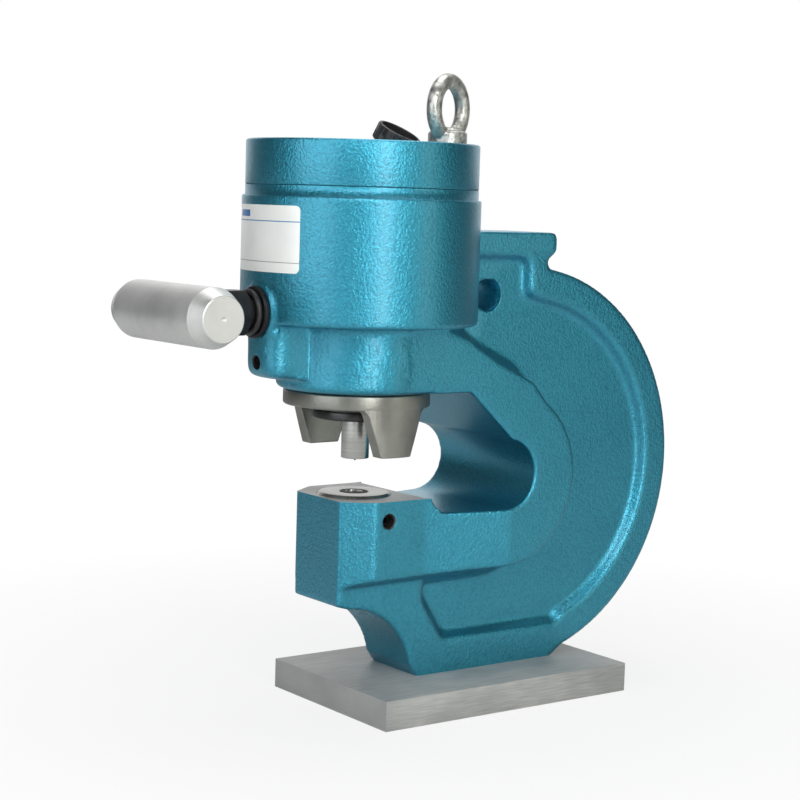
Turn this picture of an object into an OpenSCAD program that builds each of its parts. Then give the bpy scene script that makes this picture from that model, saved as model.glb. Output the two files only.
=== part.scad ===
// Hydraulic hole punch: a C-frame casting with a hydraulic cylinder over an open throat.
// Z = 0 is the underside of the base plate and the Z axis is the punch's own axis.
// X runs from the open jaw to the back of the frame, Y runs across it. Millimetres.

/* [Base plate] */
// Length of the base plate along X
plate_l = 198; // [185:1:230]
// Width of the base plate along Y
plate_w = 126; // [110:1:150]
// Thickness of the base plate
plate_t = 19; // [15:0.5:30]
// How far the plate reaches in front of the punch axis
plate_front = 18; // [10:1:24]
// Radius of a foot screw's shank
foot_screw_r = 5; // [4:0.5:6]
// How far a foot screw reaches into the foot
foot_screw_depth = 22; // [14:1:28]

/* [C-frame] */
// Radius of the round back of the frame
back_r = 132; // [128:0.5:135]
// Height of the die's top face above the foot's sole
die_height = 119.5; // [118:0.5:123]
// Half thickness of the outer rim, foot and jaw front
slab_half = 25; // [23:0.5:27]
// Half thickness of the recessed web
web_half = 19; // [14:0.5:21]
// Half width of the heavy inner rim round the throat
rim_half = 51; // [48:0.5:52]
// Width of the outer rim seen from the side
outer_rim_w = 21.5; // [18:0.5:25]
// Sideways run of the sloped wall between web and outer rim
web_draft = 4.5; // [2:0.5:6]
// Sideways run of the blend between inner rim and web
rim_draft = 12; // [8:0.5:14]
// Radius of the lifting hole in the web
lift_hole_r = 10.2; // [6:0.1:11]

/* [Throat and jaw] */
// Throat depth from the punch axis to the back of the throat
throat_depth = 107.5; // [105:0.5:110]
// Radius of the back of the throat
throat_r = 23; // [21:0.5:25]
// Height of the opening from the die's top face to the housing
opening_h = 66; // [65:0.5:70]
// Half width of the lower jaw round the die
jaw_half = 38; // [36:0.5:41]
// Distance from the punch axis to the jaw's front face
jaw_front = 27.5; // [26.5:0.5:31]
// How far the die stands above the jaw
die_stand = 1.6; // [0.8:0.1:3]
// Outer radius of the die
die_r = 23.75; // [21:0.05:24.2]
// Height of the die
die_h = 27; // [22:0.5:31]
// Radius of the hole in the die
die_hole_r = 9.2; // [9.1:0.05:11]
// Wall radius of the tapped holes in the jaw and the front lug
tap_r = 4.25; // [3.4:0.05:5]

/* [Cylinder] */
// Outer radius of the cylinder body
body_r = 75; // [74:0.25:77]
// Outer radius of the cylinder cap
cap_r = 73.1; // [70:0.1:73.5]
// Visible thickness of the cylinder cap
cap_h = 28.1; // [27:0.1:34]
// Radius of the cylinder bore
bore_r = 43; // [39:0.5:44]
// Height of the round cylinder body above the ledge
body_h = 78; // [77:0.5:84]
// Height of the turned neck under the cap
neck_h = 6.2; // [5:0.1:8]
// Radius of the front nose of the lower housing
nose_r = 51.5; // [51:0.1:54]
// Height of the lower housing up to the cylinder's ledge
housing_h = 42; // [41:0.5:46]

/* [Ram and tooling] */
// Radius of the piston rod
rod_r = 22.5; // [19:0.5:23]
// Thickness of the piston
piston_h = 22; // [18:0.5:22.5]
// Working stroke of the ram
stroke = 25; // [15:0.5:25]
// Radius of the punch
punch_r = 8.9; // [6:0.05:9]
// Opening between the punch and the die at rest
daylight = 21.65; // [19:0.05:24]
// Outer radius of the nut that holds the punch
nut_r = 28.5; // [27:0.1:29.5]
// Wire diameter of the return spring
spring_wire = 6.4; // [4:0.1:6.6]
// Number of turns of the return spring
spring_turns = 5; // [4:0.5:5]

/* [Stripper] */
// Outer radius of the stripper ring
ring_r = 46.6; // [45:0.1:48]
// Visible thickness of the stripper ring
ring_h = 9.5; // [8:0.1:11]
// Height of the stripper's legs under the ring
leg_h = 29.1; // [24:0.1:32]
// Distance from the punch axis to the inner face of a leg
leg_in = 34.8; // [33.5:0.1:36]
// Half width of a leg where it meets the ring
leg_top = 21; // [17:0.1:24]
// Half width of a leg at its tip
leg_tip = 11; // [9:0.1:15]

/* [Handle] */
// Radius of the cross grip
grip_r = 17.9; // [16:0.1:21]
// Length of the cross grip
grip_l = 110; // [80:1:130]
// Distance from the lug's front face to the grip's own axis
grip_reach = 56; // [52:0.5:69]
// Width across the flats of the black hexagon stem
hex_af = 27; // [24:0.5:29]
// Radius of the stem's pivot in the cylinder wall
pivot_r = 8; // [6:0.1:9]

/* [Lifting eye and coupler] */
// Outer diameter of the lifting eye's ring
eye_od = 45; // [42:0.5:50]
// Thickness of the lifting eye's ring
eye_wire = 10; // [8:0.1:11]
// Radius of the lifting eye's collar
eye_collar_r = 12.5; // [11:0.1:13]
// Radius of the lifting eye's threaded shank
eye_shank_r = 5; // [4:0.1:6]
// Width across the flats of the coupler's hexagon
coupler_af = 26; // [24:0.5:27]
// Radius of the coupler's plug-in nose
coupler_r = 13.2; // [12:0.1:13.5]

/* [Hidden] */
$fn = 96;

// Flats of a hexagon, outside or in a socket
hex_sides = 6;
// Clearances: a running fit, a seat within one body, a gap between bodies, a cut's overrun
run = 0.05;
snug = 0.02;
gap = 0.3;
over = 2;
// Chamfer on a turned edge or at the mouth of a bore
edge = 0.8;

// Foot screws: rows across the foot, places along it, socket heads
plate_shift = -3.5;
foot_screw_y = 13;
foot_screw_places = [62, 122];
foot_head_r = 8;
foot_head_h = 9;
foot_socket_r = 4.6;
foot_socket_depth = 5;

// Heights of the main faces above the underside of the plate
sole_z = plate_t;
die_z = sole_z + die_height;
jaw_z = die_z - die_stand;
housing_z = die_z + opening_h;
ledge_z = housing_z + housing_h;
neck_z = ledge_z + body_h;
joint_z = neck_z + neck_h;
cap_z = joint_z + cap_h;

// Throat: a flat jaw top, a short slope, a floor, a round back and a milled slope above it
floor_drop = 9.6;
jaw_flat_x = 30;
jaw_slope_x = 11;
throat_x = throat_depth - throat_r;
throat_z = jaw_z - floor_drop + throat_r;
slope_a = 47.8;
mill_proud = 3.8;
clear_x = 150;

// Round back, foot and chin of the side profile
back_x = 117.5;
back_rise = 12;
back_z = die_z + back_rise;
foot_front = 38.2;
foot_rear = 145.4;
foot_edge = 6.5;
foot_lip = 7;
foot_heel = 14.5;
foot_top = 30;
arch_x = -20;
arch_drop = 2.5;
arch_r = 51.4;
chin_rise = 51.5;
chin_x = 9.5;
chin_step = 2.7;

// Flange behind the cylinder, and the notch under its end
flange_rise = 166.6;
flange_z = die_z + flange_rise;
flange_end = 141;
flange_t = 13.5;
flange_in = 20;
flange_foot = 40;
flange_proud = 1;
flange_half = slab_half + flange_proud;
flange_r = 4;
notch_r = 9.1;
notch_x = 2.4;
notch_drop = 17.3;
notch_from = 187;
notch_to = 256;

// Lifting hole in the web
lift_hole_x = 88.4;
lift_hole_rise = 125.5;
lift_hole_z = die_z + lift_hole_rise;

// Recess in the side of the web
recess_drop = 16.6;
recess_x = 119;
recess_knee = 41.6;
recess_in = 30;
recess_sole = 23.9;
recess_toe_x = 57;
recess_heel_x = 39.6;
recess_heel = 27;
recess_chin = 9.6;
recess_r = 8;
recess_toe_r = 4;
recess_from = 81;
recess_to = -71;

// Inner rim: an arc behind the throat, then two straight steps up to the housing.
// The tail's points are shares of the rim's radius, from its centre: X, Z, rounding.
rim_w = 34.5;
rim_back = 1;
rim_low = 2.3;
rim_x = throat_x - rim_back;
rim_z = throat_z - rim_low;
rim_r = throat_r + rim_w;
rim_end = 55.6;
rim_tail_shares = [[0.362, 1.061, 0.26], [-0.155, 1.3, 0.4]];
rim_top = 12;
rim_under = 24;
rim_in = 25;
jaw_drop = 48.7;
// Blend between rim and web: share of the depth, share of the sideways run
blend_shares = [[0, 0], [0.25, 0.07], [0.5, 0.2], [0.7, 0.38], [0.86, 0.64], [1, 1]];

// Plan of the jaw: half width of the nose, where the chamfer ends, where the flare runs
jaw_nose = 24.5;
jaw_corner = 18.5;
flare_x = 29;
flare_end = 88;
jaw_round = 4;
flare_round = 8;

// Lower housing, its side flats and the front lug
housing_x = 55;
housing_round = 4;
cove_r = 6;
lug_proud = 1;
lug_x = body_r + lug_proud;
lug_half = 18;
lug_nose = 11;
lug_slope = 5;
lug_round = 4;
lug_foot = 6;
lug_low = 8;
lug_hole_rise = 18;
lug_hole_depth = 18;
boss_r = 17.2;

// Cylinder: spring pocket, rod bush pocket and the counterbore for the cap's spigot
floor_t = 17.5;
pocket_r = 35;
pocket_z = housing_z + floor_t;
bush_r = 28;
bush_h = 11;
wiper_r = 27.5;
wiper_h = 5;
spigot_r = 49;
spigot_h = 20;
spigot_z = joint_z - spigot_h;
ring_groove = 3.5;
spanner_r = 4;
spanner_at = 34;
spanner_depth = 9;

// Ram at rest, piston under the cap's spigot
piston_z = spigot_z - gap;
stroke_spare = 11.4;
floor_z = piston_z - piston_h - stroke - stroke_spare;
groove_w = 5;
groove_d = 3.5;
groove_land = 4;
neck_r = 18;

// Punch nut, punch head and the punch's centre point
nut_h = 17.5;
nut_clear = 1;
nut_z = housing_z - nut_clear - nut_h;
nut_lip = 3;
head_r = 13;
head_h = 6;
punch_z = die_z + daylight;
point_r = 1.6;
point_h = 2;

// Return spring: a round wire coil with closed, flat-lying end turns
spring_r = 28;
spring_z = pocket_z + gap;
spring_top = piston_z - piston_h - gap;
wire_sides = 6;
wire_rings = 8;
end_turns = 1;
spring_gap = 0.5;

// Stripper, its register and its screws
ring_gap = 0.5;
ring_z = housing_z - ring_gap - ring_h;
ring_bore = 31;
leg_z = ring_z - leg_h;
leg_taper = 1.2;
leg_round = 5;
register_r = 38;
screw_at = 38.8;
screw_a = 30;
screw_r = 3;
screw_head_r = 5;
screw_head_h = 5;
screw_depth = 10;
socket_depth = 3;
socket_r = 2.9;

// Die: cutting land, relief below it, and the jaw's slug hole
die_land = 6;
relief_r = 11;
slug_r = 11.5;
die_edge = 2;
lock_drop = 14;
lock_x = 0.8;
lock_socket_r = 2.3;
lock_socket_depth = 4;
lock_l = 9;

// Handle: gland, seal ring, stem, clip and cross grip
handle_rise = 7;
handle_z = ledge_z + handle_rise;
grip_x = lug_x + grip_reach;
gland_flange_r = 16;
gland_flange_t = 3.5;
gland_r = 11.5;
gland_l = 16;
seal_wire = 1.9;
stem_neck_r = 10.5;
stem_neck_l = 7.5;
hex_bevel = 1.6;
clip_t = 1.5;
clip_r = 10.6;
clip_groove = 1;
pivot_end = 2.5;
grip_seat = 13;
thread_r = 7;
thread_l = 20;
grip_bevel = 11;
grip_face_r = 13.8;
spot_r = 16.4;

// Lifting eye
eye_inset = 18.9;
eye_at = cap_r - eye_inset;
eye_a = -22.8;
eye_turn = 22;
collar_h = 9;
collar_top_r = 8;
collar_side = 7.4;
collar_shoulder = 8.2;
eye_thread = 15;

// Coupler in the far side of the cap, its valve poppet and the rubber cap on its strap
coupler_a = 66;
coupler_z = joint_z + cap_h / 2;
coupler_sink = 1.9;
coupler_face = cap_r - coupler_sink;
coupler_spot_r = 15.4;
coupler_hex_l = 15;
coupler_neck_r = 10.5;
coupler_neck_l = 3.4;
coupler_nose_l = 22;
coupler_bevel = 1.2;
coupler_thread_r = 9;
coupler_thread_l = 15;
oil_r = 2.5;
drop_r = 3.5;
poppet_r = 3.4;
poppet_l = 10;
poppet_travel = 3;
poppet_proud = 1.5;
mouth_r = 8.5;
mouth_depth = 5;
cup_wall = 2.3;
cup_r = coupler_r + snug + cup_wall;
cup_h = 11.5;
cup_out = 14.2;
cup_a = 38.63;
cup_rise = 10.5;
cup_tilt = 27.7;
cup_dir = -62;
strap_w = 7;
strap_t = 2.6;
strap_dir = 248;
strap_bend = 18.5;
strap_side = 11;

// Name plate on the cylinder's front
label_a = 52;
label_drop = 6;
label_h = 40.3;
label_t = 0.35;
label_round = 3;

// Unit vector along v
function unit(v) = v / norm(v);

// Points of an arc about c, in steps, each with no rounding of its own
function arc(c, r, from, to, steps) =
    [for (i = [0:steps]) let (a = from + (to - from) * i / steps)
        [c[0] + r * cos(a), c[1] + r * sin(a), 0]];

// One corner b between a and c, rounded to radius r
function corner(a, b, c, r, steps = 6) =
    r == 0 ? [b] :
    let (
        u = unit(a - b),
        w = unit(c - b),
        half = acos(u * w) / 2,
        o = b + unit(u + w) * r / sin(half),
        s = b + u * r / tan(half) - o,
        e = b + w * r / tan(half) - o,
        turn = 180 - 2 * half
    )
    [for (i = [0:steps]) let (k = i / steps)
        o + (s * sin((1 - k) * turn) + e * sin(k * turn)) / sin(turn)];

// A closed outline of [x, y, rounding] as plain points
function rounded(p) =
    let (n = len(p), q = [for (v = p) [v[0], v[1]]])
    [for (i = [0:n - 1]) each corner(q[(i + n - 1) % n], q[i], q[(i + 1) % n], p[i][2])];

// A counter-clockwise outline moved outwards by g
function grown(p, g) =
    let (n = len(p))
    [for (i = [0:n - 1])
        let (
            d = unit(p[i] - p[(i + n - 1) % n]),
            e = unit(p[(i + 1) % n] - p[i]),
            a = [d[1], -d[0]],
            b = [e[1], -e[0]]
        )
        p[i] + g * (a + b) / (1 + a * b)];

// A solid through outlines of equal length, each at its own level
module loft(outlines, levels) {
    n = len(outlines[0]);
    last = len(outlines) - 1;
    points = [for (k = [0:last]) each [for (q = outlines[k]) [q[0], q[1], levels[k]]]];
    sides = [for (k = [0:last - 1]) for (i = [0:n - 1])
        let (j = (i + 1) % n, a = k * n, b = a + n)
        each [[a + i, b + i, b + j], [a + i, b + j, a + j]]];
    low = [for (i = [0:n - 1]) i];
    high = [for (i = [n - 1:-1:0]) last * n + i];
    polyhedron(points, concat([low, high], sides));
}

// Stands a side view up: its X stays X, its Y becomes height, its thickness spans the slab
module side_view(half) {
    rotate([90, 0, 0]) linear_extrude(2 * half, center = true) children();
}

// A drilled or tapped hole along +Z from its mouth downwards, with a chamfered mouth
module hole(r, depth, mouth = edge) {
    translate([0, 0, -depth]) cylinder(r = r, h = depth + over);
    translate([0, 0, -mouth]) cylinder(r1 = r, r2 = r + mouth + over, h = mouth + over);
}

// A turned ring: outer radius, inner radius, height
module ring(r, inner, h) {
    difference() {
        cylinder(r = r, h = h);
        translate([0, 0, -over]) cylinder(r = inner, h = h + 2 * over);
    }
}

// A disc with chamfered edges top and bottom
module turned(r, h, bevel = edge) {
    rotate_extrude() polygon([[0, 0], [r - bevel, 0], [r, bevel], [r, h - bevel],
        [r - bevel, h], [0, h]]);
}

// Turns +Z to point along -X
module to_front() {
    rotate([0, -90, 0]) children();
}

// Places that fasteners share with the parts that they hold
module at_foot_screws() {
    for (x = foot_screw_places, side = [-1, 1])
        translate([x, side * foot_screw_y, 0]) children();
}

module at_stripper_screws() {
    for (a = [-screw_a, screw_a, 180 - screw_a, 180 + screw_a])
        rotate(a) translate([screw_at, 0, 0]) children();
}

module at_coupler() {
    rotate(coupler_a) translate([0, 0, coupler_z]) rotate([0, 90, 0]) children();
}

module at_eye() {
    rotate(eye_a) translate([eye_at, 0, cap_z]) rotate(eye_turn - eye_a) children();
}

// Ground steel plate on the bench, counterbored from below for the foot screws
module base_plate() {
    color("lightgray") difference() {
        translate([-plate_front, plate_shift - plate_w / 2, 0]) cube([plate_l, plate_w, plate_t]);
        at_foot_screws() {
            translate([0, 0, -over]) cylinder(r = foot_screw_r + gap, h = plate_t + 2 * over);
            translate([0, 0, -over]) cylinder(r = foot_head_r + gap, h = foot_head_h + edge + over);
        }
    }
}

// Four socket screws from under the plate into the foot
module foot_screws() {
    color("dimgray") at_foot_screws() difference() {
        union() {
            translate([0, 0, edge]) cylinder(r = foot_head_r, h = foot_head_h);
            cylinder_between(foot_screw_r, edge + foot_head_h - snug, plate_t + foot_screw_depth);
        }
        cylinder_between(foot_socket_r, 0, edge + foot_socket_depth, hex_sides);
    }
}

// An upright cylinder from one height to another
module cylinder_between(r, low, high, sides = $fn) {
    translate([0, 0, low]) cylinder(r = r, h = high - low, $fn = sides);
}

// The open throat seen from the side
module throat_view() {
    c = [throat_x, throat_z];
    out = [cos(slope_a), sin(slope_a)];
    along = [-sin(slope_a), cos(slope_a)];
    pad = c + (throat_r - mill_proud) * out;
    rise = (housing_z - pad[1]) / cos(slope_a);
    polygon([[-clear_x, jaw_z], [jaw_flat_x, jaw_z],
        [jaw_flat_x + jaw_slope_x, jaw_z - floor_drop], [throat_x, throat_z - throat_r],
        c, pad, pad + rise * along, [-clear_x, housing_z]]);
    translate(c) circle(throat_r);
}

// Outline of the flange and the neck below it, seen from the side
module flange_view() {
    notch = [flange_end + notch_x, flange_z - notch_drop];
    polygon(rounded(concat(
        [[flange_in, flange_z, 0], [flange_in, flange_z - flange_foot, 0]],
        arc(notch, notch_r, notch_to, notch_from, 6),
        [[flange_end, flange_z - flange_t, flange_r - edge], [flange_end, flange_z, flange_r]])));
}

// The thick bar at the top of the flange
module flange_bar_view() {
    polygon(rounded([[flange_in, flange_z, 0], [flange_in, flange_z - flange_t, 0],
        [flange_end, flange_z - flange_t, flange_r - edge], [flange_end, flange_z, flange_r]]));
}

// The whole C seen from the side, before the throat is cut
module slab_view() {
    difference() {
        union() {
            intersection() {
                translate([back_x, back_z]) circle(back_r, $fn = 180);
                translate([-clear_x, sole_z]) square([2 * clear_x + back_r, flange_z]);
            }
            polygon([[foot_front, sole_z], [foot_rear, sole_z],
                [foot_rear + foot_heel, sole_z + foot_edge], [foot_rear, sole_z + foot_top],
                [throat_x, jaw_z + over], [-jaw_front, jaw_z + over],
                [-jaw_front, sole_z + chin_rise],
                [chin_x - jaw_front, sole_z + chin_rise - chin_step],
                [foot_front - foot_lip, sole_z + foot_edge]]);
            flange_view();
        }
        translate([arch_x, sole_z - arch_drop]) circle(arch_r, $fn = 180);
    }
}

// The sunken field of the web, grown by g
function recess(g) =
    let (c = [back_x, back_z], r = back_r - outer_rim_w)
    grown(rounded(concat(
        [[recess_in, flange_z - recess_drop, 0],
            [recess_in, throat_z, 0],
            [throat_x - throat_r, throat_z - throat_r, 0],
            [recess_heel_x + edge, jaw_z - jaw_drop - recess_chin, recess_r],
            [recess_heel_x, sole_z + recess_sole + recess_heel, recess_r],
            [recess_toe_x, sole_z + recess_sole, recess_r]],
        [[back_x + r * cos(recess_to), sole_z + recess_sole, recess_toe_r]],
        arc(c, r, recess_to + 2, recess_from, 24),
        [[recess_x, flange_z - recess_knee, recess_r],
            [recess_x, flange_z - recess_drop, recess_r]])), g);

// What is cut away for it: drafted walls down to a flat floor
module recess_cut() {
    levels = [web_half - edge, slab_half + over];
    intersection() {
        loft([for (v = levels) recess(web_draft * ((v - web_half) / (slab_half - web_half) - 0.5))],
            levels);
        translate([0, 0, web_half]) cube([clear_x + 2 * back_r, flange_z, slab_half]);
    }
}

// Outline of the heavy rim round the throat, grown by g
function rim(g) =
    let (c = [rim_x, rim_z])
    grown(rounded(concat(
        [[-jaw_front - over, jaw_z - jaw_drop, 0]],
        arc(c, rim_r, -90, rim_end, 24),
        [for (t = rim_tail_shares) [rim_x + t[0] * rim_r, rim_z + t[1] * rim_r, t[2] * rim_r]],
        [[housing_x, ledge_z - rim_top, 0],
            [rim_in, ledge_z - rim_under, 0],
            [rim_in, throat_z, 0],
            [-jaw_front - over, throat_z, 0]])), g);

// Plan that the jaw is trimmed to, from its narrow front to the full width of the rim
module jaw_plan() {
    near = [[-jaw_front, jaw_nose, jaw_round], [jaw_corner - jaw_front, jaw_half, jaw_round],
        [flare_x, jaw_half, flare_round], [flare_end, rim_half, 0],
        [clear_x + back_r, rim_half, 0]];
    n = len(near);
    polygon(rounded(concat([for (i = [n - 1:-1:0]) near[i]],
        [for (p = near) [p[0], -p[1], p[2]]])));
}

// The heavy rim and the lower jaw in one: lofted across, trimmed to the jaw's plan
module rim_and_jaw() {
    n = len(blend_shares) - 1;
    depth = rim_half - web_half;
    shares = concat([for (i = [0:n]) blend_shares[i]], [for (i = [n:-1:0]) blend_shares[i]]);
    levels = concat([for (i = [0:n]) depth * blend_shares[i][0] - rim_half],
        [for (i = [n:-1:0]) rim_half - depth * blend_shares[i][0]]);
    intersection() {
        rotate([90, 0, 0]) loft([for (s = shares) rim(s[1] * rim_draft)], levels);
        union() {
            translate([0, 0, sole_z]) linear_extrude(throat_z - sole_z) jaw_plan();
            translate([rim_in, -2 * rim_half, throat_z - snug])
                cube([clear_x + back_r, 4 * rim_half, flange_z - throat_z]);
        }
    }
}

// Lower housing: round nose, flat flanks, a cove under the cylinder's ledge
module lower_housing() {
    c = housing_round;
    bottom = [for (p = arc([nose_r - c, housing_z + c], c, -90, 0, 6)) [p[0], p[1]]];
    cove = [for (p = arc([nose_r + cove_r, ledge_z - cove_r], cove_r, 180, 90, 6)) [p[0], p[1]]];
    rotate_extrude() polygon(concat([[0, housing_z]], bottom, cove, [[0, ledge_z]]));
    intersection() {
        cylinder_between(body_r, housing_z, ledge_z);
        rotate([90, 0, 90]) linear_extrude(housing_x) polygon(rounded([
            [-rim_half, housing_z, c], [rim_half, housing_z, c],
            [rim_half, ledge_z, 0], [-rim_half, ledge_z, 0]]));
    }
}

// Front lug below the handle, with the round pad that the handle's gland seats on
module lug() {
    low = housing_z + lug_low;
    intersection() {
        side_view(lug_half) polygon(rounded([[-lug_x, low, lug_foot],
            [0, low, 0], [0, ledge_z + over, 0], [-lug_x, ledge_z + over, 0]]));
        linear_extrude(cap_z) polygon(rounded([[-lug_x, lug_nose, lug_round],
            [-lug_x, -lug_nose, lug_round], [lug_slope - lug_x, -lug_half, lug_round],
            [0, -lug_half, 0], [0, lug_half, 0],
            [lug_slope - lug_x, lug_half, lug_round]]));
    }
    translate([-lug_x, 0, handle_z]) rotate([0, 90, 0]) cylinder(r = boss_r, h = lug_x - nose_r);
}

// One casting: slab and web, heavy rim and jaw, lower housing, cylinder, lug and flange
module frame() {
    color("teal") difference() {
        union() {
            difference() {
                side_view(slab_half) slab_view();
                for (side = [0, 1]) mirror([0, side, 0]) rotate([90, 0, 0]) recess_cut();
            }
            side_view(flange_half) flange_bar_view();
            rim_and_jaw();
            lower_housing();
            rotate_extrude() polygon([[0, ledge_z - snug], [body_r - edge, ledge_z - snug],
                [body_r, ledge_z + edge], [body_r, neck_z - edge], [body_r - edge, neck_z],
                [cap_r, neck_z], [cap_r, joint_z], [0, joint_z]]);
            lug();
        }
        side_view(clear_x) throat_view();
        cylinder_bores();
        jaw_bores();
        lug_bores();
        translate([0, 0, joint_z - spigot_h]) cylinder(r = spigot_r, h = spigot_h + over);
        translate([lift_hole_x, 0, lift_hole_z]) rotate([90, 0, 0])
            cylinder(r = lift_hole_r, h = 2 * slab_half, center = true);
        at_foot_screws() cylinder_between(foot_screw_r + snug, sole_z - over,
            sole_z + foot_screw_depth + edge);
    }
}

// Bores up the cylinder's axis, from the wiper at the bottom to the piston's bore
module cylinder_bores() {
    cylinder_between(wiper_r, housing_z - over, housing_z + wiper_h);
    cylinder_between(rod_r + gap, housing_z, pocket_z);
    cylinder_between(bush_r, pocket_z - bush_h, pocket_z + over);
    cylinder_between(pocket_r, pocket_z, floor_z + over);
    cylinder_between(bore_r, floor_z, joint_z + over);
    at_stripper_screws() cylinder_between(screw_r + snug, housing_z - over,
        housing_z + screw_depth + edge);
}

// Seat of the die, the slug hole under it and the cross hole for the lock screw
module jaw_bores() {
    cylinder_between(die_r + snug, die_z - die_h, die_z + over);
    cylinder_between(slug_r, sole_z, die_z);
    translate([lock_x, -jaw_half, die_z - lock_drop]) rotate([90, 0, 0])
        hole(tap_r, jaw_half - die_r + over);
}

// Tapped hole in the lug and the blind bore of the handle's gland
module lug_bores() {
    translate([-lug_x, 0, housing_z + lug_hole_rise]) to_front() hole(tap_r, lug_hole_depth);
    translate([-lug_x, 0, handle_z]) to_front()
        hole(gland_r + snug, gland_l + 2 * clip_t + pivot_end + gap);
}

// Closing cap of the cylinder: a visible rim over a spigot that carries the seal
module cylinder_cap() {
    groove_z = spigot_z + spigot_h / 2 - ring_groove / 2;
    r = spigot_r - snug;
    color("teal") difference() {
        rotate_extrude() polygon([[0, spigot_z], [r - edge, spigot_z], [r, spigot_z + edge],
            [r, groove_z], [r - ring_groove, groove_z],
            [r - ring_groove, groove_z + ring_groove], [r, groove_z + ring_groove],
            [r, joint_z], [cap_r - edge, joint_z], [cap_r, joint_z + edge],
            [cap_r, cap_z - edge], [cap_r - edge, cap_z], [0, cap_z]]);
        for (a = [45:90:315]) rotate(a) translate([spanner_at, 0, cap_z])
            hole(spanner_r, spanner_depth);
        at_eye() hole(eye_shank_r + snug, eye_thread + edge);
        at_coupler() {
            translate([0, 0, coupler_face]) cylinder(r = coupler_spot_r, h = cap_r);
            cylinder_between(coupler_thread_r + snug, coupler_face - coupler_thread_l - edge, cap_r);
            cylinder_between(oil_r, -drop_r / 2, cap_r);
        }
        cylinder_between(drop_r, spigot_z - over, coupler_z);
    }
}

// Seal ring in the groove of the cap's spigot
module cap_seal() {
    r = spigot_r - snug;
    z = spigot_z + spigot_h / 2 - ring_groove / 2;
    color("black") translate([0, 0, z + snug])
        ring(r - snug, r - ring_groove + snug, ring_groove - 2 * snug);
}

// Forged lifting eye: ring on a collar, threaded shank below
module lifting_eye() {
    mean = (eye_od - eye_wire) / 2;
    color("silver") at_eye() {
        translate([0, 0, eye_od / 2 + snug]) rotate([90, 0, 0]) rotate_extrude()
            translate([mean, 0]) circle(eye_wire / 2, $fn = 48);
        rotate_extrude() polygon([[0, -eye_thread], [eye_shank_r, -eye_thread],
            [eye_shank_r, 0], [eye_collar_r, 0], [eye_collar_r, collar_side],
            [eye_collar_r - edge, collar_shoulder], [collar_top_r, collar_h], [0, collar_h]]);
    }
}

// Plug half of the quick coupler, screwed into the side of the cap
module coupler() {
    hex_z = coupler_face + coupler_hex_l;
    nose_z = hex_z + coupler_neck_l;
    end_z = nose_z + coupler_nose_l;
    corner_r = coupler_af / 2 / cos(30);
    color("silver") at_coupler() difference() {
        union() {
            cylinder_between(coupler_thread_r, coupler_face - coupler_thread_l, coupler_face + edge);
            intersection() {
                cylinder_between(corner_r, coupler_face, hex_z, hex_sides);
                translate([0, 0, coupler_face]) turned(corner_r, coupler_hex_l, hex_bevel);
            }
            cylinder_between(coupler_neck_r, hex_z - edge, nose_z + edge);
            translate([0, 0, nose_z]) turned(coupler_r, coupler_nose_l, coupler_bevel);
        }
        cylinder_between(mouth_r, end_z - mouth_depth, end_z + over);
        cylinder_between(poppet_r + run, end_z - mouth_depth - poppet_l - poppet_travel, end_z);
        cylinder_between(oil_r, 0, end_z);
    }
}

// Spring-loaded valve poppet in the coupler's mouth
module coupler_poppet() {
    end_z = coupler_face + coupler_hex_l + coupler_neck_l + coupler_nose_l;
    color("gainsboro") at_coupler()
        translate([0, 0, end_z - mouth_depth + poppet_proud - poppet_l]) turned(poppet_r, poppet_l);
}

// Rubber dust cap of the coupler, pulled off and left standing on its strap
module dust_cap() {
    ring_at = coupler_face + coupler_hex_l + coupler_neck_l / 2;
    color([0.12, 0.12, 0.13]) {
        at_cup() difference() {
            turned(cup_r, cup_h);
            translate([0, 0, cup_wall]) cylinder(r = cup_r - cup_wall, h = cup_h);
        }
        at_coupler() translate([0, 0, ring_at - strap_t / 2])
            ring(coupler_neck_r + snug + strap_t, coupler_neck_r + snug, strap_t);
        hull() {
            at_coupler() rotate(strap_dir) strap_bar(coupler_neck_r + strap_t, ring_at);
            at_coupler() rotate(strap_dir) strap_bar(strap_bend, ring_at);
        }
        hull() {
            at_coupler() rotate(strap_dir) strap_bar(strap_bend, ring_at);
            at_cup() translate([0, strap_side, strap_t / 2]) rotate([0, 90, 0])
                cylinder(r = strap_t / 2, h = strap_w, center = true, $fn = 16);
        }
    }
}

// A round bar across the strap, at a radius and a height on the coupler's axis
module strap_bar(r, z) {
    translate([r, 0, z]) rotate([90, 0, 0])
        cylinder(r = strap_t / 2, h = strap_w, center = true, $fn = 16);
}

// Places the cup: tilted, its rim's centre over the far edge of the cap
module at_cup() {
    rotate(cup_a) translate([cap_r + cup_out, 0, cap_z + cup_rise])
        rotate(cup_dir - cup_a) rotate([0, cup_tilt, 0]) translate([0, 0, -cup_h]) children();
}

// Bare rating plate, a thin curved sheet on the cylinder's front
module name_plate() {
    half_w = body_r * sin(label_a / 2);
    top = neck_z - label_drop;
    r = body_r + snug;
    color("whitesmoke") intersection() {
        cylinder_wall(r + label_t, r, top - label_h, top);
        translate([-body_r - over, 0, 0]) rotate([90, 0, 90]) linear_extrude(body_r)
            polygon(rounded([[-half_w, top - label_h, label_round],
                [half_w, top - label_h, label_round], [half_w, top, label_round],
                [-half_w, top, label_round]]));
    }
}

// A tube from one height to another
module cylinder_wall(r, inner, low, high) {
    translate([0, 0, low]) ring(r, inner, high - low);
}

// Places the parts of the handle on its own axis, +Z pointing away from the cylinder
module at_handle() {
    translate([-lug_x, 0, handle_z]) to_front() children();
}

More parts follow.
